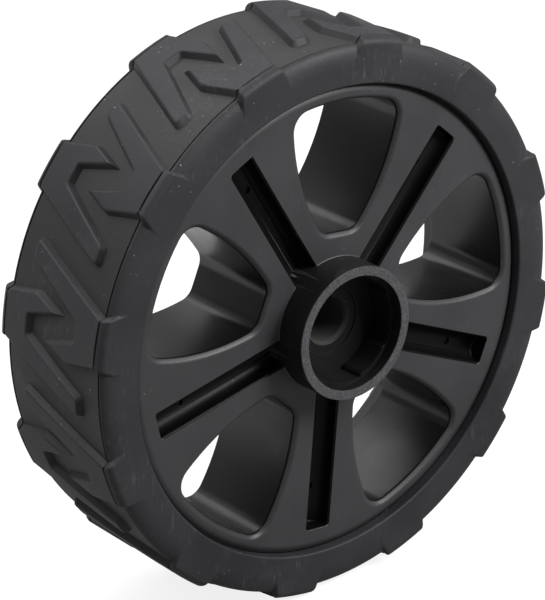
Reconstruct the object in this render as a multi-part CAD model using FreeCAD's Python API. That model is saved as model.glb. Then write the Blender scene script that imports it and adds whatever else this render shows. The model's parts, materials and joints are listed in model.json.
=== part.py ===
import FreeCAD, Part
import math, os

# Lawn mower wheel, 200 mm over the tread lugs: a one-piece moulded wheel body with a soft tyre moulded
# round its rim. Millimetres, +Z up. The wheel turns about Y, its outer face looks to -Y, and the origin
# is on the axle line halfway across the tyre. Angles run clockwise from straight up, seen from outside.

# Tyre
LUG_TOP_R = 100.0        # radius over the tread lugs
LUG_H = 2.4              # height of a lug above the tread base
TREAD_T = 13.6           # tread base to the rim under it
TYRE_W = 56.0            # sidewall to sidewall
SHOULDER_R = 3.0         # rounded edge between tread base and sidewall

# Tread lugs: one outline, as the angle from the lug's own centre line and the distance in from the sidewall
LUG_COUNT = 12           # lugs in each of the two rows
LUG_START = 10.5         # centre line of the first lug in the outer row
ROW_TURN = 9.3           # the inner row is the outer row turned half round about this direction
LUG_OUTLINE = ((-4.3, 0.0), (-6.3, 18.2), (-4.3, 28.8), (-1.9, 14.8), (2.5, 14.8),
               (10.4, 43.2), (13.6, 43.2), (4.3, 0.0))
LUG_MID = 3.6            # angle inside the outline about which the lug is drawn square
LUG_DRAFT = 1.2          # how far each flank spreads from lug top to tread base
LUG_SHOULDER_R = 2.5     # rounding of the lug where it turns over the shoulder

# Rim and disc
RIM_T = 4.0              # rim wall
RIM_IN = 5.6             # slope at the back where rim and tyre end: how far it rises to the inner sidewall
TYRE_FIT = 0.0           # gap between rim and tyre, which is moulded on
FACE_IN = 2.6            # disc face behind the tyre's outer sidewall
DISC_T = 3.2             # disc thickness
DISC_ROUND = 1.3         # rounded outer edge of the disc
GROOVE_W = 0.4           # bottom of the groove between disc and tyre

# Windows and spokes
SPOKES = 5
SLOT_START = -31.1       # first slot
WIN_RIM_GAP = 5.8        # window's outer edge, an arc about the axle, in from the rim's outside
WIN_HUB_GAP = 8.55       # window's inner edge, straight, out from the collar
WIN_OUT_DEG = 16.97      # half the window's angle at its outer edge, before the corners are rounded
WIN_IN_HALF = 6.97       # half its width at the inner edge
WIN_SIDE_R = 79.6        # arc that joins these two at each side
WIN_CORNER_OUT = 6.5
WIN_CORNER_IN = 6.0
WIN_EDGE = 1.4           # rounded front edge of a window
WIN_WALL = 2.6           # wall of the tunnel behind a window
WIN_DEEP = 38.2          # depth of that tunnel, from the disc face
SLOT_W = 9.4             # round-bottomed channel along the middle of a spoke
SLOT_DEEP = 6.2
SLOT_END_GAP = 7.8       # end of the channel, in from the rim's outside
SLOT_EDGE = 0.6          # rounded long edges
SLOT_WALL = 2.4
RIB_T = 2.6              # rib behind each channel, from hub tube to rim

# Hub
COLLAR_OD = 47.5         # ring for a hub cap, on the outer face
COLLAR_H = 11.9
CAP_D = 40.7             # mouth that takes the cap
CAP_DEEP = 4.3
SOCKET_D = 39.6          # inside of the collar below the mouth
SOCKET_FLOOR = 2.2       # socket floor behind the disc face
CAP_RIBS = 6             # raised bands down the socket wall
CAP_RIB_START = 22.0
CAP_RIB_SPAN = 40.0
CAP_RIB_H = 0.8
FLOOR_T = 3.4
FLOOR_STEP_D = 24.0      # shallow step round the axle hole
FLOOR_STEP = 0.8
AXLE_D = 16.0
AXLE_LEAD_D = 17.8       # lead-in of the axle hole
AXLE_LEAD = 1.8
TUBE_T = 5.0             # wall of the hub tube round the axle
TUBE_PROUD = 2.0         # hub tube past the tyre's inner sidewall

FLAT_COUNT = 1           # flats that make up a rounded edge, to keep the mesh light
CUT_PAST = 1.0           # how far a cutting shape runs past the surface that it opens

V = FreeCAD.Vector
AXLE = V(0, 1, 0)
ORIGIN = V(0, 0, 0)

side = TYRE_W / 2
base_r = LUG_TOP_R - LUG_H
seat_r = base_r - TREAD_T
face_y = FACE_IN - side
rim_y = side - RIM_IN
back_y = face_y + WIN_DEEP
rim_in = seat_r - RIM_T
groove_r = seat_r - GROOVE_W
collar_r = COLLAR_OD / 2
collar_y = face_y - COLLAR_H
floor_y = face_y + SOCKET_FLOOR
tube_r = AXLE_D / 2 + TUBE_T
tube_y = side + TUBE_PROUD
slot_r = SLOT_W / 2
slot_y = face_y + SLOT_DEEP - slot_r
slot_end = seat_r - SLOT_END_GAP


def polar(radius, deg):
    return radius * math.cos(math.radians(deg)), radius * math.sin(math.radians(deg))


def eased(r, y, radius, start, end, flats):
    """Rounded corner about the centre (r, y), as points on flats from one angle to another."""
    out = []
    for i in range(flats + 1):
        dr, dy = polar(radius, start + (end - start) * i / flats)
        out.append((r + dr, y + dy))
    return out


def mirrored(points):
    """The same points on the other side of the wheel's middle plane, in the order that closes the outline."""
    return [(r, -y) for r, y in points[::-1]]


def turned(points):
    """Solid of revolution about the axle from points given as (radius, y)."""
    wire = Part.makePolygon([V(r, y, 0) for r, y in points + points[:1]])
    return Part.Face(wire).revolve(ORIGIN, AXLE, 360)


def spun(shape, angle):
    copy = shape.copy()
    copy.rotate(ORIGIN, AXLE, angle)
    return copy


def ring(r_in, r_out, y0, y1):
    return turned([(r_in, y0), (r_out, y0), (r_out, y1), (r_in, y1)])


def spread(corners, d):
    """Outline with every edge moved outwards by d."""
    area = sum(a[0] * b[1] - b[0] * a[1] for a, b in zip(corners, corners[1:] + corners[:1]))
    turn = math.copysign(1, area)
    out = []
    for p, q, s in zip(corners[-1:] + corners[:-1], corners, corners[1:] + corners[:1]):
        u = V(q[0] - p[0], q[1] - p[1], 0).normalize()
        w = V(s[0] - q[0], s[1] - q[1], 0).normalize()
        n1, n2 = V(u.y, -u.x, 0) * turn, V(w.y, -w.x, 0) * turn
        k = d / (1 + n1.dot(n2))
        out.append((q[0] + (n1.x + n2.x) * k, q[1] + (n1.y + n2.y) * k))
    return out


def frustum(low, high, z_low, z_high):
    """Solid with flat sides between two outlines of the same number of corners, at two heights."""
    a = [V(x, y, z_low) for x, y in low]
    b = [V(x, y, z_high) for x, y in high]
    n = len(a)
    faces = [Part.Face(Part.makePolygon(a + a[:1])), Part.Face(Part.makePolygon(b + b[:1]))]
    faces += [Part.Face(Part.makePolygon([a[i], a[(i + 1) % n], b[(i + 1) % n], b[i], a[i]])) for i in range(n)]
    return Part.Solid(Part.Shell(faces))


def make_tyre():
    """Band moulded round the rim, with two rows of lugs that reach into each other."""
    bore_r = seat_r + TYRE_FIT
    shoulder = eased(base_r - SHOULDER_R, SHOULDER_R - side, SHOULDER_R, -90, 0, FLAT_COUNT)
    band = turned([(bore_r, -side)] + shoulder + mirrored(shoulder) + [(bore_r + RIM_IN, side), (bore_r, rim_y)])

    k = LUG_SHOULDER_R
    root_r = base_r - SHOULDER_R
    half = [(root_r, -side)] + eased(LUG_TOP_R - k, k - side, k, -90, 0, FLAT_COUNT)
    envelope = turned(half + mirrored(half))

    over = side + CUT_PAST
    top = [(LUG_TOP_R * math.sin(math.radians(t - LUG_MID)), y - side if y else -over) for t, y in LUG_OUTLINE]
    foot = spread(top, LUG_DRAFT)
    tip = spread(top, -LUG_DRAFT * CUT_PAST / LUG_H)
    lug = frustum(foot, foot, root_r - CUT_PAST, base_r - CUT_PAST)
    lug = lug.fuse(frustum(foot, tip, base_r - CUT_PAST, LUG_TOP_R + CUT_PAST)).common(envelope)
    lug.rotate(ORIGIN, AXLE, LUG_MID)

    outwards = V(math.sin(math.radians(ROW_TURN)), 0, math.cos(math.radians(ROW_TURN)))
    lugs = []
    for i in range(LUG_COUNT):
        outer = spun(lug, LUG_START + i * 360.0 / LUG_COUNT)
        inner = outer.copy()
        inner.rotate(ORIGIN, outwards, 180)
        lugs += [outer, inner]
    return band.fuse(lugs).removeSplitter()


def window(grow, y):
    """Outline of a window that stands straight up; grow moves it outwards all round."""
    centre = V(0, y, 0)
    out_r, in_z = seat_r - WIN_RIM_GAP, collar_r + WIN_HUB_GAP
    z_o, x_o = polar(out_r, WIN_OUT_DEG)
    chord = V(x_o - WIN_IN_HALF, 0, z_o - in_z)
    rise = math.sqrt(WIN_SIDE_R ** 2 - (chord.Length / 2) ** 2)
    side_c = V(WIN_IN_HALF, y, in_z) + chord / 2 + V(-chord.z, 0, chord.x) * (rise / chord.Length)

    reach_o, reach_s = out_r - WIN_CORNER_OUT, WIN_SIDE_R - WIN_CORNER_OUT
    to_side = side_c - centre
    apart = to_side.Length
    along = (apart ** 2 + reach_o ** 2 - reach_s ** 2) / (2 * apart)
    across = math.sqrt(reach_o ** 2 - along ** 2)
    to_side = to_side / apart
    corner_o = centre + to_side * along + V(to_side.z, 0, -to_side.x) * across
    z_i = in_z + WIN_CORNER_IN
    x_i = math.sqrt((WIN_SIDE_R - WIN_CORNER_IN) ** 2 - (z_i - side_c.z) ** 2) + side_c.x
    corner_i = V(x_i, y, z_i)

    def on(c, radius, towards):
        return c + (towards - c).normalize() * radius

    def flip(p):
        return V(-p.x, p.y, p.z)

    r_o, r_s = out_r + grow, WIN_SIDE_R + grow
    a = on(centre, r_o, corner_o)
    b = on(side_c, r_s, corner_o)
    c = on(side_c, r_s, corner_i)
    d = V(x_i, y, in_z - grow)
    ab = on(corner_o, WIN_CORNER_OUT + grow, (a + b) / 2)
    bc = on(side_c, r_s, (b + c) / 2)
    cd = on(corner_i, WIN_CORNER_IN + grow, (c + d) / 2)
    edges = [Part.Arc(flip(a), V(0, y, r_o), a), Part.Arc(a, ab, b), Part.Arc(b, bc, c), Part.Arc(c, cd, d),
             Part.LineSegment(d, flip(d)), Part.Arc(flip(d), flip(cd), flip(c)),
             Part.Arc(flip(c), flip(bc), flip(b)), Part.Arc(flip(b), flip(ab), flip(a))]
    return Part.Wire([e.toShape() for e in edges])


def plug(grow, y0, y1):
    return Part.Face(window(grow, y0)).extrude(V(0, y1 - y0, 0))


def channel(r, top, r0, r1):
    """Bar along a spoke that stands straight up, flat in front at top and half round behind, as the slot is."""
    outline = [Part.LineSegment(V(-r, top, r0), V(-r, slot_y, r0)),
               Part.Arc(V(-r, slot_y, r0), V(0, slot_y + r, r0), V(r, slot_y, r0)),
               Part.LineSegment(V(r, slot_y, r0), V(r, top, r0)),
               Part.LineSegment(V(r, top, r0), V(-r, top, r0))]
    return Part.Face(Part.Wire([e.toShape() for e in outline])).extrude(V(0, 0, r1 - r0))


def make_wheel_body():
    """Disc with windows and channelled spokes, rim, hub tube and cap collar, in one moulding."""
    step_y = face_y + DISC_ROUND
    ledge_y = collar_y + CAP_DEEP
    lead_y = floor_y + FLOOR_STEP
    floor_back = floor_y + FLOOR_T
    collar_in = SOCKET_D / 2
    profile = [(CAP_D / 2, collar_y), (collar_r, collar_y), (collar_r, face_y)]
    profile += eased(groove_r - DISC_ROUND, step_y, DISC_ROUND, -90, 0, FLAT_COUNT)
    profile += [(seat_r, step_y), (seat_r, rim_y), (rim_in, rim_y - RIM_T), (rim_in, face_y + DISC_T)]
    profile += [(collar_r, face_y + DISC_T), (collar_r, back_y)]
    profile += [(collar_in, back_y), (collar_in, floor_back), (tube_r, floor_back), (tube_r, tube_y)]
    profile += [(AXLE_D / 2, tube_y), (AXLE_D / 2, lead_y + AXLE_LEAD), (AXLE_LEAD_D / 2, lead_y)]
    profile += [(FLOOR_STEP_D / 2, lead_y), (FLOOR_STEP_D / 2, floor_y), (collar_in, floor_y)]
    profile += [(collar_in, ledge_y), (CAP_D / 2, ledge_y)]
    body = turned(profile)

    hole = plug(0, face_y - CUT_PAST, back_y + CUT_PAST)
    edge = [(WIN_EDGE + dr, WIN_EDGE + dy) for dr, dy in eased(0, 0, WIN_EDGE, -90, -180, FLAT_COUNT)]
    flare = Part.makeLoft([window(grow, face_y + deep) for grow, deep in edge], True, True)
    tunnel = plug(WIN_WALL, face_y + DISC_T / 2, back_y)
    trough = channel(slot_r + SLOT_WALL, (face_y + slot_y) / 2, collar_r - CUT_PAST, slot_end + SLOT_WALL)
    rib_y = face_y + SLOT_DEEP + SLOT_WALL / 2
    rib_r = (AXLE_D / 2 + tube_r) / 2
    rib = Part.makeBox(RIB_T, back_y - rib_y, rim_in + RIM_T / 2 - rib_r, V(-RIB_T / 2, rib_y, rib_r))

    slot = channel(slot_r, face_y, 0, slot_end)
    lip = slot_r + SLOT_EDGE
    mouth = [(-lip, face_y), (lip, face_y), (slot_r, face_y + SLOT_EDGE), (-slot_r, face_y + SLOT_EDGE)]
    mouth = frustum(mouth, mouth, 0, slot_end)
    hub = Part.makeCylinder(collar_r, SLOT_DEEP + 2 * CUT_PAST, V(0, face_y - CUT_PAST, 0), AXLE)
    slot = slot.fuse(mouth).cut(hub)

    slot_at = [SLOT_START + i * 360.0 / SPOKES for i in range(SPOKES)]
    window_at = [a + 180.0 / SPOKES for a in slot_at]
    solids, cuts = [], []
    for a, w in zip(slot_at, window_at):
        solids += [spun(tunnel, w), spun(trough, a), spun(rib, a)]
        cuts += [spun(hole, w), spun(flare, w), spun(slot, a)]
    body = body.fuse(solids).cut(cuts)

    wide = SOCKET_D * math.tan(math.radians(CAP_RIB_SPAN / 2))
    wedge = Part.makePolygon([V(0, ledge_y, 0), V(-wide, ledge_y, SOCKET_D), V(wide, ledge_y, SOCKET_D),
                              V(0, ledge_y, 0)])
    wedge = Part.Face(wedge).extrude(V(0, floor_back - ledge_y, 0))
    band = ring(collar_in - CAP_RIB_H, collar_in + CUT_PAST, ledge_y, floor_back - CUT_PAST).common(wedge)
    return body.fuse([spun(band, CAP_RIB_START + i * 360.0 / CAP_RIBS) for i in range(CAP_RIBS)])


os.makedirs("parts", exist_ok=True)
for name, shape in (("tyre", make_tyre()), ("wheel_body", make_wheel_body())):
    shape.exportStep("parts/" + name + ".step")
    print(name, "solids", len(shape.Solids), "faces", len(shape.Faces), "valid", shape.isValid(),
          "volume cm3 %.1f" % (shape.Volume / 1000))
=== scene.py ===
# %% [markdown]
# # A lawn mower wheel
# This lesson dresses a wheel that was drawn as solids elsewhere. The wheel has two pieces: a hard moulded
# body and a soft tyre moulded round its rim. The solids hold the sizes. Here they get rounded edges,
# rubber, plastic and light.

# %% Load the solids
import json
import math

import bpy
from mathutils import Matrix, Vector

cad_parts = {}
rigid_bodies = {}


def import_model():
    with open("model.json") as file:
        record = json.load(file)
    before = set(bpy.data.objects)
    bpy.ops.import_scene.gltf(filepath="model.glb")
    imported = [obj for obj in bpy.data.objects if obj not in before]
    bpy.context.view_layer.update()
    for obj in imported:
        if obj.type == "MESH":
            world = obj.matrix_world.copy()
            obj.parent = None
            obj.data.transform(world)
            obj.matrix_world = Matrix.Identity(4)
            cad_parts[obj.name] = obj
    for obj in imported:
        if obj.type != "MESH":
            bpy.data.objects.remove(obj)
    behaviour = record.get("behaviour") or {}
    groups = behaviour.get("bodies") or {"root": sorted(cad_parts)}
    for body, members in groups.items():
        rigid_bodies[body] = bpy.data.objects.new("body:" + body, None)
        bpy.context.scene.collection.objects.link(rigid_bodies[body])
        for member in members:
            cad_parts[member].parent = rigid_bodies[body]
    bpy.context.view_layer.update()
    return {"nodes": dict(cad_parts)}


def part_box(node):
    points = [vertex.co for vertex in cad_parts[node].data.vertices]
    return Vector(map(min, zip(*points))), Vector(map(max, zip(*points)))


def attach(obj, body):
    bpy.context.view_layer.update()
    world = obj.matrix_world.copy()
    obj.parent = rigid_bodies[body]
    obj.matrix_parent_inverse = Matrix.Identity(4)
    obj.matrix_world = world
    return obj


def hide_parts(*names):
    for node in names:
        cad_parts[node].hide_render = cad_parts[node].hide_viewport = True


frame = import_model()
MM = 0.001

# %% [markdown]
# ## Small helpers
# In edit mode Blender works on what is selected. A person clicks on it. A script picks it by place or by
# direction, so these helpers select the faces, edges or corners that pass a test, and leave the piece in
# edit mode.


# %% Helpers for selecting
def only(piece):
    bpy.ops.object.select_all(action="DESELECT")
    piece.select_set(True)
    bpy.context.view_layer.objects.active = piece


def pick(piece, kind, test):
    """Edit mode on piece with just the elements that pass the test selected; kind is VERT, EDGE or FACE."""
    only(piece)
    bpy.ops.object.mode_set(mode="EDIT")
    bpy.ops.mesh.select_mode(type=kind)
    bpy.ops.mesh.select_all(action="DESELECT")
    bpy.ops.object.mode_set(mode="OBJECT")
    mesh = piece.data
    if kind == "VERT":
        chosen = [v for v in mesh.vertices if test(v.co)]
    elif kind == "EDGE":
        chosen = [e for e in mesh.edges if test(*[mesh.vertices[i].co for i in e.vertices])]
    else:
        chosen = [f for f in mesh.polygons if test(f.center, f.normal)]
    for element in chosen:
        element.select = True
    bpy.ops.object.mode_set(mode="EDIT")
    return len(chosen)


def done():
    bpy.ops.object.mode_set(mode="OBJECT")


def all_of(*anything):
    return True


def radius(p):
    return math.hypot(p.x, p.z)


def near(a, b, reach=0.02 * MM):
    return abs(a - b) < reach


print("selecting helpers ready")

# %% [markdown]
# The next helpers are whole jobs that come back several times: turning faces outwards, using up a
# modifier, drawing an outline, repeating a piece round the axle, and giving a finished skin its smooth
# shading.

# %% Helpers for whole jobs
WELD = 0.01 * MM               # corners closer than this become one, so that no gap or sliver is left
SMOOTH_ANGLE = math.radians(32)


def outwards(piece):
    pick(piece, "FACE", all_of)
    bpy.ops.mesh.normals_make_consistent(inside=False)
    done()


def finish_modifier(piece, kind, **settings):
    only(piece)
    modifier = piece.modifiers.new(kind.title(), kind)
    for name, value in settings.items():
        setattr(modifier, name, value)
    bpy.ops.object.modifier_apply(modifier=modifier.name)


def outline_object(name, points, fill):
    """New piece that is one closed outline through the points, from a circle with as many corners."""
    bpy.ops.object.select_all(action="DESELECT")
    bpy.ops.mesh.primitive_circle_add(vertices=len(points), radius=1, fill_type=fill)
    piece = bpy.context.object
    piece.name = name
    for corner, point in zip(piece.data.vertices, points):
        corner.co = point
    return piece


def repeat(piece, places):
    """Put one object in the place of the piece, with a copy of it at each of the places."""
    copies = []
    for place in places:
        copy = bpy.data.objects.new(piece.name + "_copy", piece.data.copy())
        bpy.context.scene.collection.objects.link(copy)
        copy.data.transform(place)
        copies.append(copy)
    bpy.data.objects.remove(piece)
    only(copies[0])
    for copy in copies:
        copy.select_set(True)
    bpy.ops.object.join()
    return bpy.context.object


def smooth(piece):
    """Weld the skin and shade it smooth, except across real edges; large faces keep their direction."""
    pick(piece, "VERT", all_of)
    bpy.ops.mesh.remove_doubles(threshold=WELD)
    done()
    bpy.ops.object.shade_smooth_by_angle(angle=SMOOTH_ANGLE)
    finish_modifier(piece, "WEIGHTED_NORMAL", keep_sharp=True)


print("job helpers ready")

# %% [markdown]
# ## The tyre's band
# The tyre is one band of soft rubber, so its cross-section is drawn once and spun round the axle. The
# shoulders curve far down the sidewalls. Two halves of the mould met just inside each shoulder and left a
# fine groove there. At the back, the band ends in a slope, level with the slope of the rim under it.

# %% Cross-section of the band
tyre_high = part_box("tyre")[1]
SIDE = tyre_high.y             # from the middle plane to the sidewall
LUG_TOP_R = round(tyre_high.x / MM) * MM
LUG_H = 2.4 * MM
BASE_R = LUG_TOP_R - LUG_H
SEAT_R = 84 * MM               # the rim under the tyre
BACK_SLOPE = 5.6 * MM
PARTING_IN = 3.0 * MM          # the mould's parting plane, in from the sidewall
PARTING_W = 0.7 * MM
PARTING_D = 1.4 * MM
SHOULDER_DROP = 7.0 * MM       # how far the shoulder's curve reaches down the sidewall
SHOULDER_STEPS = 10
LIP_ROUND = 0.8 * MM
LIP_STEPS = 3
SEGMENTS = 240
QUARTER = math.pi / 2


def shoulder(share):
    """Radius and distance from the middle plane on the shoulder's curve; 0 is the groove, 1 the sidewall."""
    turn = share * QUARTER
    wide = PARTING_IN - PARTING_W / 2
    return BASE_R - SHOULDER_DROP * (1 - math.cos(turn)), SIDE - wide * (1 - math.sin(turn))


CROWN = SIDE - PARTING_IN      # the middle of the groove
half = [(BASE_R, CROWN - PARTING_W / 2), (BASE_R - PARTING_D, CROWN - PARTING_W / 6),
        (BASE_R - PARTING_D, CROWN + PARTING_W / 6)]
half += [shoulder(i / SHOULDER_STEPS) for i in range(SHOULDER_STEPS + 1)]
lip_turns = [QUARTER * i / LIP_STEPS for i in range(LIP_STEPS + 1)]
lip = [(SEAT_R + LIP_ROUND * (1 - math.sin(a)), SIDE - LIP_ROUND * (1 - math.cos(a))) for a in lip_turns]
slope = [(SEAT_R, SIDE - BACK_SLOPE), (SEAT_R + BACK_SLOPE, SIDE)]
section = [(r, -y) for r, y in half + lip] + slope + half[::-1]
print("cross-section:", len(section), "points")

# %% Spin the band
tyre = outline_object("rubber_tyre", [Vector((0, y, r)) for r, y in section], "NOTHING")
pick(tyre, "VERT", all_of)
bpy.ops.mesh.spin(steps=SEGMENTS, angle=2 * math.pi, center=(0, 0, 0), axis=(0, 1, 0), use_auto_merge=True)
bpy.ops.mesh.select_all(action="SELECT")
bpy.ops.mesh.remove_doubles(threshold=WELD)
done()
outwards(tyre)
print("band:", len(tyre.data.polygons), "faces")

# %% [markdown]
# ## One tread lug
# Each lug is a zigzag block with sloping flanks. It is drawn flat first, as if the tread had been
# unrolled: x runs round the tyre and y along its profile, over the shoulder and down the sidewall, where
# it spreads and fades. A flat block is easy to bevel, and it is wrapped on the tyre afterwards.

# %% Flat lug
# Each corner: degrees from the lug's middle, and mm in from the sidewall.
LUG_OUTLINE = ((-6.3, 0.0), (-4.4, 3.0), (-6.3, 18.2), (-4.3, 28.8), (-1.9, 14.8), (2.5, 14.8),
               (10.4, 43.2), (13.6, 43.2), (4.7, 3.0), (6.4, 0.0))
TIP = 3                        # this corner of the outline is too narrow for a round
LUG_DRAFT = 1.2 * MM
CORNER_ROUND = 0.9 * MM
TURN = 9 * MM                  # length of the lug past the parting plane


def flat(deg, inwards):
    run = SIDE - inwards * MM if inwards else CROWN + TURN
    return Vector((math.radians(deg) * LUG_TOP_R, run, LUG_H))


lug = outline_object("lug", [flat(*point) for point in LUG_OUTLINE], "NGON")
tip = flat(*LUG_OUTLINE[TIP])
pick(lug, "VERT", lambda p: p.y < CROWN - MM and (p - tip).length > MM)
bpy.ops.mesh.bevel(offset=CORNER_ROUND, segments=2, affect="VERTICES")
done()
pick(lug, "EDGE", all_of)
bpy.ops.mesh.extrude_edges_move(TRANSFORM_OT_translate={"value": (0, 0, -LUG_H)})
done()
outwards(lug)
pick(lug, "VERT", lambda p: near(p.z, 0))
bpy.ops.transform.shrink_fatten(value=LUG_DRAFT, use_even_offset=True)
done()
bpy.context.view_layer.update()
print("flat lug: foot %.1f by %.1f mm" % (lug.dimensions.x / MM, lug.dimensions.y / MM))

# %% [markdown]
# The top edge is softened, and a root goes down into the band so that the two can be joined later. Then
# the block is cut across at short steps, because a face can only follow a curve where it has corners. The
# parting groove crosses the lug too: one of the cuts is lowered.

# %% Soften, root and slice the lug
LUG_EDGE = 0.55 * MM
ROOT = 2.2 * MM                # deeper than the parting groove, so that the lug fills it
SLICES = 14

pick(lug, "EDGE", lambda a, b: near(a.z, LUG_H) and near(b.z, LUG_H) and min(a.y, b.y) < CROWN + TURN - MM)
bpy.ops.mesh.bevel(offset=LUG_EDGE, segments=3, affect="EDGES")
done()
pick(lug, "EDGE", lambda a, b: near(a.z, 0) and near(b.z, 0))
bpy.ops.mesh.extrude_edges_move(TRANSFORM_OT_translate={"value": (0, 0, -ROOT)})
bpy.ops.mesh.edge_face_add()
done()
outwards(lug)


def slice_lug(places, direction):
    for at_place in places:
        pick(lug, "FACE", all_of)
        bpy.ops.mesh.bisect(plane_co=direction * at_place, plane_no=direction)
        done()


def steps(start, end, count):
    return [start + (end - start) * i / count for i in range(1, count)]


across, along = Vector((1, 0, 0)), Vector((0, 1, 0))
xs = [v.co.x for v in lug.data.vertices]
slice_lug(steps(min(xs), max(xs), SLICES), across)
slice_lug([CROWN - PARTING_W / 2, CROWN, CROWN + PARTING_W / 2], along)
slice_lug(steps(CROWN + PARTING_W / 2, CROWN + TURN, SLICES), along)
pick(lug, "VERT", lambda p: near(p.y, CROWN) and p.z > LUG_H / 2)
bpy.ops.transform.translate(value=(0, 0, -PARTING_D))
done()
print("sliced lug:", len(lug.data.polygons), "faces")

# %% [markdown]
# Wrapping bends the flat block round the tyre. Every corner of it has a place along the profile and a
# height over the band, so it moves to the same place on the real profile. On the tread the block is a
# full lug high. On the sidewall it sinks towards the rubber until it is gone.

# %% Wrap the lug on the tyre
LUG_CORNER = 2.4 * MM          # how far the lug's top drops where it turns over the shoulder
LUG_PROUD = 0.25 * MM          # how far it stands out of the sidewall there, and at its lower end
LUG_END_PROUD = 0.05 * MM
LUG_SINK = 0.15 * MM           # the foot starts a little under the band's skin, so that the two cross cleanly
CORNER_SHARE = 0.34            # the share of the run past the parting plane that the turn takes


def low_and_top(run):
    """The band's own profile under a point of the lug, and the profile of the lug's top."""
    if run <= CROWN:
        return (BASE_R - LUG_SINK, run), (LUG_TOP_R, run)
    share = (run - CROWN) / TURN
    low_r, low_y = shoulder(min(share, 1))
    low = (low_r - LUG_SINK - TURN * max(share - 1, 0), low_y - LUG_SINK)
    if share < CORNER_SHARE:
        turn = share / CORNER_SHARE * QUARTER
        wide = PARTING_IN + LUG_PROUD
        return low, (LUG_TOP_R - LUG_CORNER * (1 - math.cos(turn)), CROWN + wide * math.sin(turn))
    fade = (share - CORNER_SHARE) / (1 - CORNER_SHARE)
    start = LUG_TOP_R - LUG_CORNER
    return low, (start + (BASE_R - SHOULDER_DROP - start) * fade,
                 SIDE + LUG_PROUD + (LUG_END_PROUD - LUG_PROUD) * fade)


for v in lug.data.vertices:
    low, top = low_and_top(v.co.y)
    share = v.co.z / LUG_H
    r = low[0] + (top[0] - low[0]) * share
    y = low[1] + (top[1] - low[1]) * share
    if share < 0 and v.co.y > CROWN:
        r, y = low[0] + v.co.z, low[1] + v.co.z
    angle = v.co.x / LUG_TOP_R
    v.co = Vector((r * math.sin(angle), -y, r * math.cos(angle)))
print("wrapped lug reaches %.2f mm from the axle" % (max(radius(v.co) for v in lug.data.vertices) / MM))

# %% [markdown]
# ## Two rows of lugs
# The outer row is the lug repeated twelve times round the axle. The inner row is the same row turned half
# round about a spoke of the wheel, so the arms of the two rows reach into each other. A boolean union
# then joins lugs and band.

# %% Repeat and join
LUG_COUNT = 12
LUG_START = math.radians(10.5)
ROW_TURN = math.radians(9.3)

half_round = Matrix.Rotation(math.pi, 4, Vector((math.sin(ROW_TURN), 0, math.cos(ROW_TURN))))
lug_places = []
for i in range(LUG_COUNT):
    round_axle = Matrix.Rotation(LUG_START + i * 2 * math.pi / LUG_COUNT, 4, "Y")
    lug_places += [round_axle, half_round @ round_axle]
tread = repeat(lug, lug_places)
outwards(tread)
finish_modifier(tyre, "BOOLEAN", operation="UNION", solver="MANIFOLD", object=tread)
bpy.data.objects.remove(tread)
smooth(tyre)
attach(tyre, "root")
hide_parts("tyre")
print("tyre with lugs:", len(tyre.data.polygons), "faces")

# %% [markdown]
# ## The moulded body
# The solid of the body already has its windows, tunnels and channels. A copy of it is merged into one
# skin and its flat triangles are dissolved into whole faces, which leaves only the real edges for
# rounding.

# %% Body from the solid
SOLID_WELD = 0.002 * MM
FLAT_ANGLE = math.radians(0.5)

node = frame["nodes"]["wheel_body"]
body = bpy.data.objects.new("moulded_body", node.data.copy())
bpy.context.scene.collection.objects.link(body)
body.data.materials.clear()
pick(body, "VERT", all_of)
bpy.ops.mesh.remove_doubles(threshold=SOLID_WELD)
bpy.ops.mesh.dissolve_limited(angle_limit=FLAT_ANGLE)
done()
print("body skin:", len(body.data.polygons), "faces")

# %% [markdown]
# The plastic was shot into the mould through one point in each of the five channels. It left a small
# round dimple in the channel's floor. Five short cylinders, turned round the axle, are cut out of the
# body.

# %% Gate dimples
FACE_Y = -25.4 * MM            # the front of the disc
FLOOR_Y = FACE_Y + 6.2 * MM    # the channels' floor
SPOKES = 5
SLOT_START = -31.1             # degrees from straight up, seen from the front
SLOT_STEP = 360 / SPOKES
GATE_R = 1.3 * MM
GATE_DEEP = 0.7 * MM
GATE_AT = 62.6 * MM

bpy.ops.object.select_all(action="DESELECT")
bpy.ops.mesh.primitive_cylinder_add(vertices=24, radius=GATE_R, depth=4 * GATE_DEEP, rotation=(QUARTER, 0, 0),
                                    location=(0, FLOOR_Y - GATE_DEEP, GATE_AT))
bpy.ops.object.transform_apply(location=True, rotation=True, scale=True)
spoke_turns = [math.radians(SLOT_START + i * SLOT_STEP) for i in range(SPOKES)]
gates = repeat(bpy.context.object, [Matrix.Rotation(turn, 4, "Y") for turn in spoke_turns])
finish_modifier(body, "BOOLEAN", operation="DIFFERENCE", solver="EXACT", object=gates)
bpy.data.objects.remove(gates)
print("body with dimples:", len(body.data.polygons), "faces")

# %% [markdown]
# A mould leaves every edge a little round, and the light on these rounds is what makes plastic look
# moulded. Each kind of edge gets its own width: wide at the disc's outer edge, narrow at the collar and
# the channels. An edge is found by where it lies: its height along the axle, its distance from the axle
# and its distance from a channel.

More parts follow.
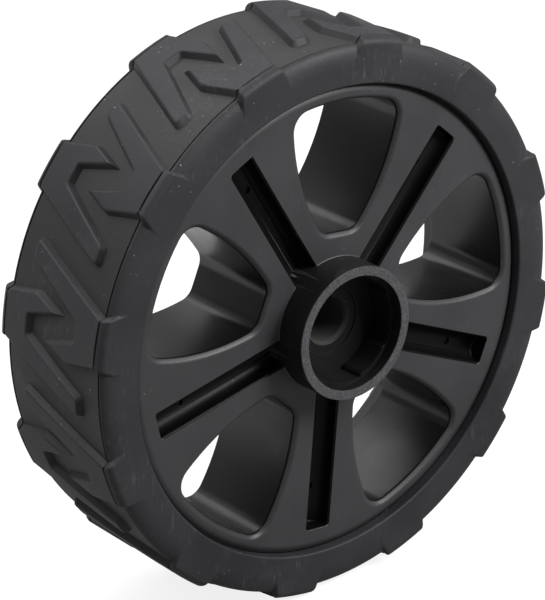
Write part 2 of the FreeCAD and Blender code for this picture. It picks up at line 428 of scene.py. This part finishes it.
# %% Places on the body
WIN_EDGE = 1.4 * MM            # depth of the slope at a window's mouth, and at a channel's
SLOT_EDGE = 0.6 * MM
DISC_R = 82.3 * MM
COLLAR_R = 23.75 * MM
COLLAR_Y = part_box("wheel_body")[0].y
LEDGE_Y = COLLAR_Y + 4.3 * MM
SOCKET_Y = FACE_Y + 2.2 * MM
STEP_Y = SOCKET_Y + 0.8 * MM
SOCKET_R = 15 * MM
BACK_Y = 12.8 * MM
RIM_END_Y = 18.4 * MM
TUBE_Y = 30 * MM
WIN_FROM_R, WIN_TO_R = 28 * MM, 80.2 * MM
WIN_OFF = 8 * MM               # windows lie farther than this from a channel's middle line
SLOT_OFF = 6 * MM              # channels lie nearer than this
SLOT_TO_R = 77 * MM
SLOT_END = 76.2 * MM
SEAM_CORNER = Vector((-35.7 * MM, 67.5 * MM))   # a seam of the big front face ends at this channel corner
SEAM_REACH = 2 * MM
SLACK = 0.1 * MM


def across_slot(p):
    """Distance from the middle line of the nearest channel."""
    off = (math.degrees(math.atan2(p.x, p.z)) - SLOT_START + SLOT_STEP / 2) % SLOT_STEP - SLOT_STEP / 2
    return radius(p) * abs(math.sin(math.radians(off)))


def along_slot(p):
    """Distance from the axle, measured along the nearest channel."""
    return math.sqrt(radius(p) ** 2 - across_slot(p) ** 2)


def at(p, *levels):
    return any(near(p.y, level) for level in levels)


def at_disc(p):
    return at(p, FACE_Y) and near(radius(p), DISC_R, SLACK)


def at_window(p):
    between_spokes = across_slot(p) > WIN_OFF and WIN_FROM_R < radius(p) < WIN_TO_R
    return between_spokes and at(p, FACE_Y, FACE_Y + WIN_EDGE)


def at_channel_end(p):
    """The end wall of a channel, apart from the corner with the seam: a round there would fold the face."""
    wall = near(along_slot(p), SLOT_END) and across_slot(p) < SLOT_OFF
    return wall and FACE_Y - SLACK < p.y < FLOOR_Y + SLACK and (p.xz - SEAM_CORNER).length > SEAM_REACH


def at_channel(p):
    beside = across_slot(p) < SLOT_OFF and COLLAR_R + MM < radius(p) < SLOT_TO_R
    return beside and at(p, FACE_Y, FACE_Y + SLOT_EDGE)


def at_dimple(p):
    beside = near(radius(p), GATE_AT, GATE_R + SLACK) and across_slot(p) < GATE_R + SLACK
    return beside and FLOOR_Y - MM < p.y < FLOOR_Y + 3 * SLACK


print("places known for", SPOKES, "spokes")

# %% Round the edges
SHARP = math.radians(24)       # an edge that bends less is part of a curve


def round_edges(name, width, segments, test, leave=None):
    """Bevel the sharp edges of the body whose two ends pass the test; those level at leave stay."""
    only(body)
    bpy.ops.object.mode_set(mode="EDIT")
    bpy.ops.mesh.select_mode(type="EDGE")
    bpy.ops.mesh.select_all(action="DESELECT")
    bpy.ops.mesh.edges_select_sharp(sharpness=SHARP)
    done()
    corners = body.data.vertices
    sharp = {frozenset(tuple(corners[i].co) for i in e.vertices) for e in body.data.edges if e.select}

    def wanted(a, b):
        stays = leave is not None and at(a, leave) and at(b, leave)
        return test(a) and test(b) and not stays and frozenset((tuple(a), tuple(b))) in sharp

    count = pick(body, "EDGE", wanted)
    bpy.ops.mesh.bevel(offset=width, segments=segments, affect="EDGES",
                       clamp_overlap=False, loop_slide=False)
    done()
    print("rounded", name, count, "edges")


round_edges("disc", 1.5 * MM, 5, at_disc)
round_edges("windows", 0.6 * MM, 3, at_window)
round_edges("channel ends", 0.9 * MM, 4, at_channel_end, leave=FACE_Y)
round_edges("channels", 0.3 * MM, 2, at_channel)
round_edges("collar rim", 0.35 * MM, 2, lambda p: at(p, COLLAR_Y))
round_edges("collar foot", 0.5 * MM, 3, lambda p: at(p, FACE_Y) and near(radius(p), COLLAR_R, SLACK))
round_edges("socket", 0.15 * MM, 2, lambda p: at(p, LEDGE_Y))
round_edges("axle hole", 0.25 * MM, 2, lambda p: at(p, SOCKET_Y, STEP_Y) and radius(p) < SOCKET_R)
round_edges("dimples", 0.2 * MM, 2, at_dimple)
round_edges("back", 0.5 * MM, 2, lambda p: at(p, BACK_Y))
round_edges("rim end", 0.5 * MM, 2, lambda p: at(p, RIM_END_Y, TUBE_Y))
smooth(body)
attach(body, "root")
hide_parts("wheel_body")
print("body:", len(body.data.polygons), "faces")

# %% [markdown]
# ## Finishes
# Rubber and plastic share three effects: the fine grain of the mould, specks of dust and pale scuffs.
# Each is a node group that puts out a mask, and every material mixes it in with its own strength. A few
# small helpers come first, each for one kind of node.


# %% Node helpers
def noise(nodes, links, place, scale, detail=2.0, rough=0.5):
    texture = nodes.new("ShaderNodeTexNoise")
    texture.inputs["Scale"].default_value = scale
    texture.inputs["Detail"].default_value = detail
    texture.inputs["Roughness"].default_value = rough
    links.new(place, texture.inputs["Vector"])
    return texture.outputs["Fac"]


def ramp(nodes, links, value, low, high):
    """0 at low, 1 at high."""
    node = nodes.new("ShaderNodeMapRange")
    node.inputs["From Min"].default_value = low
    node.inputs["From Max"].default_value = high
    links.new(value, node.inputs["Value"])
    return node.outputs["Result"]


def span(nodes, links, share, low, high):
    """Value that goes from low to high with the share."""
    node = nodes.new("ShaderNodeMapRange")
    node.inputs["To Min"].default_value = low
    node.inputs["To Max"].default_value = high
    links.new(share, node.inputs["Value"])
    return node.outputs["Result"]


def math_node(nodes, links, operation, *values):
    node = nodes.new("ShaderNodeMath")
    node.operation = operation
    for socket, value in zip(node.inputs, values):
        if isinstance(value, (int, float)):
            socket.default_value = value
        else:
            links.new(value, socket)
    return node.outputs[0]


def times(nodes, links, *values):
    out = values[0]
    for value in values[1:]:
        out = math_node(nodes, links, "MULTIPLY", out, value)
    return out


print("node helpers ready")


# %% Groups for grain, dust and scuffs
def new_group(name, title, value, output):
    """Node group with one number in and one number out, laid out in the piece's own coordinates."""
    group = bpy.data.node_groups.new(name, "ShaderNodeTree")
    group.interface.new_socket(title, in_out="INPUT", socket_type="NodeSocketFloat").default_value = value
    group.interface.new_socket(output, in_out="OUTPUT", socket_type="NodeSocketFloat")
    nodes = group.nodes
    place = nodes.new("ShaderNodeTexCoord").outputs["Object"]
    amount = nodes.new("NodeGroupInput").outputs[title]
    return group, nodes, group.links, place, amount, nodes.new("NodeGroupOutput").inputs[output]


grain_group, nodes, links, place, size, out = new_group("mould_grain", "Size", 2200.0, "Height")
fine = nodes.new("ShaderNodeTexNoise")
fine.inputs["Detail"].default_value = 3.0
links.new(place, fine.inputs["Vector"])
links.new(size, fine.inputs["Scale"])
links.new(fine.outputs["Fac"], out)

dust_group, nodes, links, place, amount, out = new_group("dust_specks", "Amount", 1.0, "Mask")
cells = nodes.new("ShaderNodeTexVoronoi")
cells.inputs["Scale"].default_value = 420.0
links.new(place, cells.inputs["Vector"])
dot = ramp(nodes, links, cells.outputs["Distance"], 0.15, 0.06)
patch = ramp(nodes, links, noise(nodes, links, place, 120.0, 3.0), 0.58, 0.72)
links.new(times(nodes, links, dot, patch, amount), out)

HAIR_TURN = (0, math.radians(35), 0)
HAIR_STRETCH = (900, 900, 150)         # squeezed on two axes, so that the marks become long and thin
SMEAR_SHARE = 0.35
scuff_group, nodes, links, place, amount, out = new_group("scuffs", "Amount", 1.0, "Mask")
broad = ramp(nodes, links, noise(nodes, links, place, 38.0, 5.0, 0.62), 0.50, 0.75)
stretch = nodes.new("ShaderNodeMapping")
stretch.inputs["Rotation"].default_value = HAIR_TURN
stretch.inputs["Scale"].default_value = HAIR_STRETCH
links.new(place, stretch.inputs["Vector"])
hairs = ramp(nodes, links, noise(nodes, links, stretch.outputs["Vector"], 1.0), 0.56, 0.72)
smear = ramp(nodes, links, noise(nodes, links, place, 420.0, 3.0, 0.6), 0.40, 0.90)
marks = math_node(nodes, links, "MAXIMUM", hairs, times(nodes, links, smear, SMEAR_SHARE))
links.new(times(nodes, links, broad, marks, amount), out)
print("groups:", [g.name for g in (grain_group, dust_group, scuff_group)])


# %% [markdown]
# ## Rubber
# Tyre rubber is charcoal, not black, and nearly matt. Handling leaves faint pale smears on it, and dust
# clings to it. Between the lugs nobody touches it, so there it keeps one even tone.

# %% Material helpers
DUST = (0.16, 0.16, 0.165)
PALE_DUST = (0.32, 0.32, 0.31)


def new_material(name):
    """Material with its node tree, its main shader and the place on the piece."""
    material = bpy.data.materials.new(name)
    material.use_nodes = True
    nodes, links = material.node_tree.nodes, material.node_tree.links
    return material, nodes, links, nodes["Principled BSDF"], nodes.new("ShaderNodeTexCoord").outputs["Object"]


def use_group(nodes, group, **values):
    node = nodes.new("ShaderNodeGroup")
    node.node_tree = group
    for name, value in values.items():
        node.inputs[name].default_value = value
    return node.outputs[0]


def mix(nodes, links, share, dark, pale):
    node = nodes.new("ShaderNodeMix")
    node.data_type = "RGBA"
    links.new(share, node.inputs["Factor"])
    for socket, colour in ((node.inputs[6], dark), (node.inputs[7], pale)):
        if isinstance(colour, tuple):
            socket.default_value = (*colour, 1)
        else:
            links.new(colour, socket)
    return node.outputs[2]


def clouds(nodes, links, place, scale):
    """Soft broad patches, for tone and shine that are never quite even."""
    return ramp(nodes, links, noise(nodes, links, place, scale, 4.0, 0.55), 0.35, 0.68)


def dusty(nodes, links, tone, scuffs, dust):
    """The tone with pale scuffs and specks of dust on it."""
    tone = mix(nodes, links, use_group(nodes, scuff_group, Amount=scuffs), tone, DUST)
    return mix(nodes, links, use_group(nodes, dust_group, Amount=dust), tone, PALE_DUST)


def grain(nodes, links, skin, size, depth):
    bump = nodes.new("ShaderNodeBump")
    bump.inputs["Distance"].default_value = depth
    links.new(use_group(nodes, grain_group, Size=size), bump.inputs["Height"])
    links.new(bump.outputs["Normal"], skin.inputs["Normal"])


def wheel_place(nodes, links, place):
    """Height along the axle and distance from it, at each point."""
    split = nodes.new("ShaderNodeSeparateXYZ")
    links.new(place, split.inputs["Vector"])
    x, y, z = split.outputs
    squares = math_node(nodes, links, "ADD", times(nodes, links, x, x), times(nodes, links, z, z))
    return y, math_node(nodes, links, "SQRT", squares)


print("material helpers ready")

# %% Rubber material
RUBBER_DARK, RUBBER_PALE = (0.021, 0.0212, 0.0240), (0.034, 0.0342, 0.0380)
RUBBER_BETWEEN = (0.028, 0.0282, 0.0280)

rubber, nodes, links, skin, place = new_material("tyre_rubber")
cloud = clouds(nodes, links, place, 26.0)
handled = mix(nodes, links, cloud, RUBBER_DARK, RUBBER_PALE)
_, reach = wheel_place(nodes, links, place)
between = times(nodes, links, ramp(nodes, links, reach, BASE_R - 0.4 * MM, BASE_R - 0.1 * MM),
                ramp(nodes, links, reach, BASE_R + 0.6 * MM, BASE_R + 0.2 * MM))
tone = mix(nodes, links, between, handled, RUBBER_BETWEEN)
links.new(dusty(nodes, links, tone, 0.55, 0.9), skin.inputs["Base Color"])
links.new(span(nodes, links, cloud, 0.52, 0.64), skin.inputs["Roughness"])
skin.inputs["Specular IOR Level"].default_value = 0.3
grain(nodes, links, skin, 1500.0, 0.08 * MM)
tyre.data.materials.clear()
tyre.data.materials.append(rubber)
print("rubber on", tyre.name)

# %% [markdown]
# ## Plastic
# The body is one black moulding, but its skin differs from place to place, so it gets three finishes. The
# first is a satin grey-black with a fine grain, for all that is handled. It goes on the whole body. The
# other two are then put on chosen faces, each through a material slot of its own; they also carry painted
# shade in the tunnels, channels and hub, and painted light in the axle hole.

# %% Satin plastic
SATIN_DARK, SATIN_PALE = (0.033, 0.0333, 0.0358), (0.046, 0.0463, 0.0495)
PLASTIC_GRAIN = 2600.0

satin, nodes, links, skin, place = new_material("satin_plastic")
cloud = clouds(nodes, links, place, 30.0)
tone = mix(nodes, links, cloud, SATIN_DARK, SATIN_PALE)
links.new(dusty(nodes, links, tone, 0.15, 0.5), skin.inputs["Base Color"])
links.new(span(nodes, links, cloud, 0.42, 0.48), skin.inputs["Roughness"])
skin.inputs["Specular IOR Level"].default_value = 0.4
grain(nodes, links, skin, PLASTIC_GRAIN, 0.04 * MM)
body.data.materials.append(satin)
print("satin plastic on", body.name)

# %% [markdown]
# The walls of the tunnels slid off polished steel when the mould opened, so they are smoother and mirror
# the bright ground behind the wheel. Their colour is painted darker towards the front, a painted shade
# behind the window's lip that fades towards the back. Their faces are the ones that look at the middle of a
# window.

# %% Glossy plastic in the tunnels, with painted shade
TUNNEL_MID_R = 55 * MM         # distance of a window's middle from the axle
TUNNEL_FROM_R, TUNNEL_TO_R = 26 * MM, 80.5 * MM
TUNNEL_SHADE_TO = FACE_Y + 3 * MM
TUNNEL_SHADE_FRONT, TUNNEL_SHADE_BACK = (0.005, 0.005, 0.005), (0.020, 0.020, 0.0195)
WALL_TILT = 0.7                # a wall's direction may lean this far towards the axle

glossy, nodes, links, skin, place = new_material("glossy_plastic_painted_shade")
height, _ = wheel_place(nodes, links, place)
# Painted shade: the walls are painted darker towards the front, behind the window's lip.
tone = mix(nodes, links, ramp(nodes, links, height, TUNNEL_SHADE_TO, BACK_Y), TUNNEL_SHADE_FRONT, TUNNEL_SHADE_BACK)
links.new(dusty(nodes, links, tone, 0.10, 0.3), skin.inputs["Base Color"])
links.new(span(nodes, links, clouds(nodes, links, place, 60.0), 0.27, 0.34), skin.inputs["Roughness"])
skin.inputs["Specular IOR Level"].default_value = 0.4
grain(nodes, links, skin, PLASTIC_GRAIN, 0.02 * MM)
body.data.materials.append(glossy)


def in_tunnel(p, n):
    """Faces that look towards the middle of the nearest window."""
    spoke = math.floor((math.degrees(math.atan2(p.x, p.z)) - SLOT_START) / SLOT_STEP)
    turn = math.radians(SLOT_START + (spoke + 0.5) * SLOT_STEP)
    middle = Vector((math.sin(turn), 0, math.cos(turn))) * TUNNEL_MID_R
    inwards = Vector((middle.x - p.x, 0, middle.z - p.z)).dot(n) > 0
    wall = FACE_Y + WIN_EDGE < p.y < BACK_Y and abs(n.y) < WALL_TILT
    return inwards and wall and across_slot(p) > WIN_OFF and TUNNEL_FROM_R < radius(p) < TUNNEL_TO_R


def assign_finish(slot, test):
    """Give the faces that pass the test the material in this slot."""
    count = pick(body, "FACE", test)
    body.active_material_index = slot
    bpy.ops.object.material_slot_assign()
    done()
    return count


print("glossy on", assign_finish(1, in_tunnel), "faces")

# %% [markdown]
# The channels and the hub lie deep, so their plastic is painted near black, a painted shade for these
# recesses, and it mirrors little. Two places in the hub are paler: the axle hole, painted paler as painted
# light on the wall of the tube, and the collar's rim, which was trimmed with a blade and is rough. Both are
# found inside the material, from the place on the wheel. A ring-shaped face has its centre on the axle, so
# the narrow ring in the gap round the disc counts as hub and gets the channels' painted shade too.

# %% Deep black plastic: painted shade for channels and hub
CHANNEL_PAINTED_SHADE = (0.0035, 0.0035, 0.0037)
HUB_SHADE_DARK, HUB_SHADE_PALE = (0.010, 0.0101, 0.0104), (0.016, 0.0161, 0.0165)
BORE_PAINTED_LIGHT = (0.07, 0.07, 0.068)
TRIM_DARK, TRIM_PALE = (0.055, 0.056, 0.058), (0.125, 0.125, 0.13)
BORE_R = 8.4 * MM

black, nodes, links, skin, place = new_material("deep_plastic_painted_shade")
height, reach = wheel_place(nodes, links, place)
cloud = clouds(nodes, links, place, 30.0)
hub = ramp(nodes, links, reach, COLLAR_R + 0.4 * MM, COLLAR_R + 0.1 * MM)
# Painted shade: the channels are painted near black, the inside of the hub a dark grey-black.
tone = mix(nodes, links, hub, CHANNEL_PAINTED_SHADE, mix(nodes, links, cloud, HUB_SHADE_DARK, HUB_SHADE_PALE))
# Painted light: the axle hole is painted paler, as if its wall were lit inside the tube.
lit_bore = ramp(nodes, links, reach, BORE_R + 0.8 * MM, BORE_R)
tone = mix(nodes, links, lit_bore, tone, BORE_PAINTED_LIGHT)
trimmed = ramp(nodes, links, height, COLLAR_Y + 0.5 * MM, COLLAR_Y + 0.2 * MM)
cuts = ramp(nodes, links, noise(nodes, links, place, 1600.0, 4.0, 0.7), 0.40, 0.66)
tone = mix(nodes, links, trimmed, tone, mix(nodes, links, cuts, TRIM_DARK, TRIM_PALE))
tone = mix(nodes, links, use_group(nodes, dust_group, Amount=0.5), tone, PALE_DUST)
links.new(tone, skin.inputs["Base Color"])
links.new(span(nodes, links, cloud, 0.34, 0.44), skin.inputs["Roughness"])
skin.inputs["Specular IOR Level"].default_value = 0.12
grain(nodes, links, skin, PLASTIC_GRAIN, 0.04 * MM)
body.data.materials.append(black)
print("made", black.name)

# %% Painted shade on channels and hub
SLOT_WALL = 5.6 * MM           # the channel's walls lie nearer than this to its middle line
SLOT_OUT_R = 78 * MM
HUB_DEEP = 12 * MM


def in_channel(p):
    return (FACE_Y + 0.2 * MM < p.y < FLOOR_Y + 1.5 * MM and across_slot(p) < SLOT_WALL
            and radius(p) < SLOT_OUT_R)


def in_hub(p):
    deep = p.y < FACE_Y + HUB_DEEP and not near(p.y, FACE_Y, SLACK)
    return deep and radius(p) < COLLAR_R + 0.05 * MM


# The channels, the hub and the ring in the gap round the disc get the painted shade.
print("deep black on", assign_finish(2, lambda p, n: in_channel(p) or in_hub(p) or radius(p) < BORE_R), "faces")

# %% [markdown]
# ## Floor, light and camera
# The wheel stands on a white floor that fills the picture. The floor glows for the camera, and black
# plastic would mirror that glow everywhere. So in reflections it glows fully only behind the wheel, where
# it lights the tunnel walls.

# %% Floor and world
FLOOR_SIZE = 12
FLOOR_GREY = (0.22, 0.22, 0.22, 1)     # a lit grey and the glow add up to white with a soft shadow
FLOOR_GLOW = 0.85
GLOW_FROM_Y, GLOW_TO_Y = -0.05, 0.30   # from here to there the mirrored glow rises
GLOW_FRONT, GLOW_BEHIND = 0.1, 1.0
WORLD_FILL, WORLD_SEEN = 0.13, 0.3
WHITE = (1, 1, 1, 1)

scene = bpy.context.scene
scene.view_settings.view_transform = "Standard"
bpy.ops.object.select_all(action="DESELECT")
bpy.ops.mesh.primitive_plane_add(size=FLOOR_SIZE, location=(0, 0, -LUG_TOP_R))
floor = bpy.context.object
floor.name = "floor"


def seen_directly(nodes, links, in_gloss):
    """1 for rays from the camera, a share for reflections and glass, 0 for light that falls on things."""
    path = nodes.new("ShaderNodeLightPath")
    gloss, glass = path.outputs["Is Glossy Ray"], path.outputs["Is Transmission Ray"]
    share = times(nodes, links, math_node(nodes, links, "ADD", gloss, glass), in_gloss)
    return math_node(nodes, links, "ADD", path.outputs["Is Camera Ray"], share)


white, nodes, links, skin, place = new_material("white_floor")
skin.inputs["Base Color"].default_value = FLOOR_GREY
skin.inputs["Roughness"].default_value = 0.9
skin.inputs["Emission Color"].default_value = WHITE
depth, _ = wheel_place(nodes, links, place)
behind = span(nodes, links, ramp(nodes, links, depth, GLOW_FROM_Y, GLOW_TO_Y), GLOW_FRONT, GLOW_BEHIND)
glow = times(nodes, links, seen_directly(nodes, links, behind), FLOOR_GLOW)
links.new(glow, skin.inputs["Emission Strength"])
floor.data.materials.append(white)

world = bpy.data.worlds.new("studio")
scene.world = world
world.use_nodes = True
nodes, links = world.node_tree.nodes, world.node_tree.links
sky = nodes["Background"]
sky.inputs["Color"].default_value = WHITE
seen = seen_directly(nodes, links, 1.0)
links.new(span(nodes, links, seen, WORLD_FILL, WORLD_SEEN), sky.inputs["Strength"])
print("floor and world ready")

# %% [markdown]
# Black things are shaped by the edges of their reflections. The key light hangs high on the left and a
# little behind, so it skims the tread and leaves the flanks of the lugs dark. A smaller one from the
# front right lifts the disc. The third stands far behind and shines through the windows.


# %% Lights
def soft_light(name, place, size, power):
    """Rectangle of light that looks at the wheel; places and sizes in metres, power in watts."""
    data = bpy.data.lights.new(name, "AREA")
    data.shape = "RECTANGLE"
    data.size, data.size_y = size
    data.energy = power
    light = bpy.data.objects.new(name, data)
    scene.collection.objects.link(light)
    light.location = place
    light.rotation_euler = (-Vector(place)).to_track_quat("-Z", "Y").to_euler()


soft_light("key", (-0.45, 0.20, 0.85), (0.8, 0.8), 8)
soft_light("front", (0.35, -0.55, 0.48), (0.4, 0.4), 7.5)
soft_light("back", (0.2, 1.0, 1.3), (1.2, 0.8), 7)

# %% [markdown]
# The camera was worked out from the photo: circles on the wheel show up as ellipses, and their shapes
# give the direction, the distance and the lens.

# %% Camera
CAMERA_AT = (-0.58390, -0.71734, 0.38606)
LOOK_DOWN, LOOK_TURN = 22.87, -38.95   # degrees
LENS, SENSOR = 174.24, 36              # mm
SHIFT_X, SHIFT_Y = -0.00738, 0.01881

camera = bpy.data.objects.new("camera", bpy.data.cameras.new("camera"))
scene.collection.objects.link(camera)
camera.location = CAMERA_AT
camera.rotation_euler = (math.radians(90 - LOOK_DOWN), 0, math.radians(LOOK_TURN))
camera.data.lens = LENS
camera.data.sensor_width = SENSOR
camera.data.shift_x = SHIFT_X
camera.data.shift_y = SHIFT_Y
scene.camera = camera
print("camera %.2f m from the wheel" % camera.location.length)
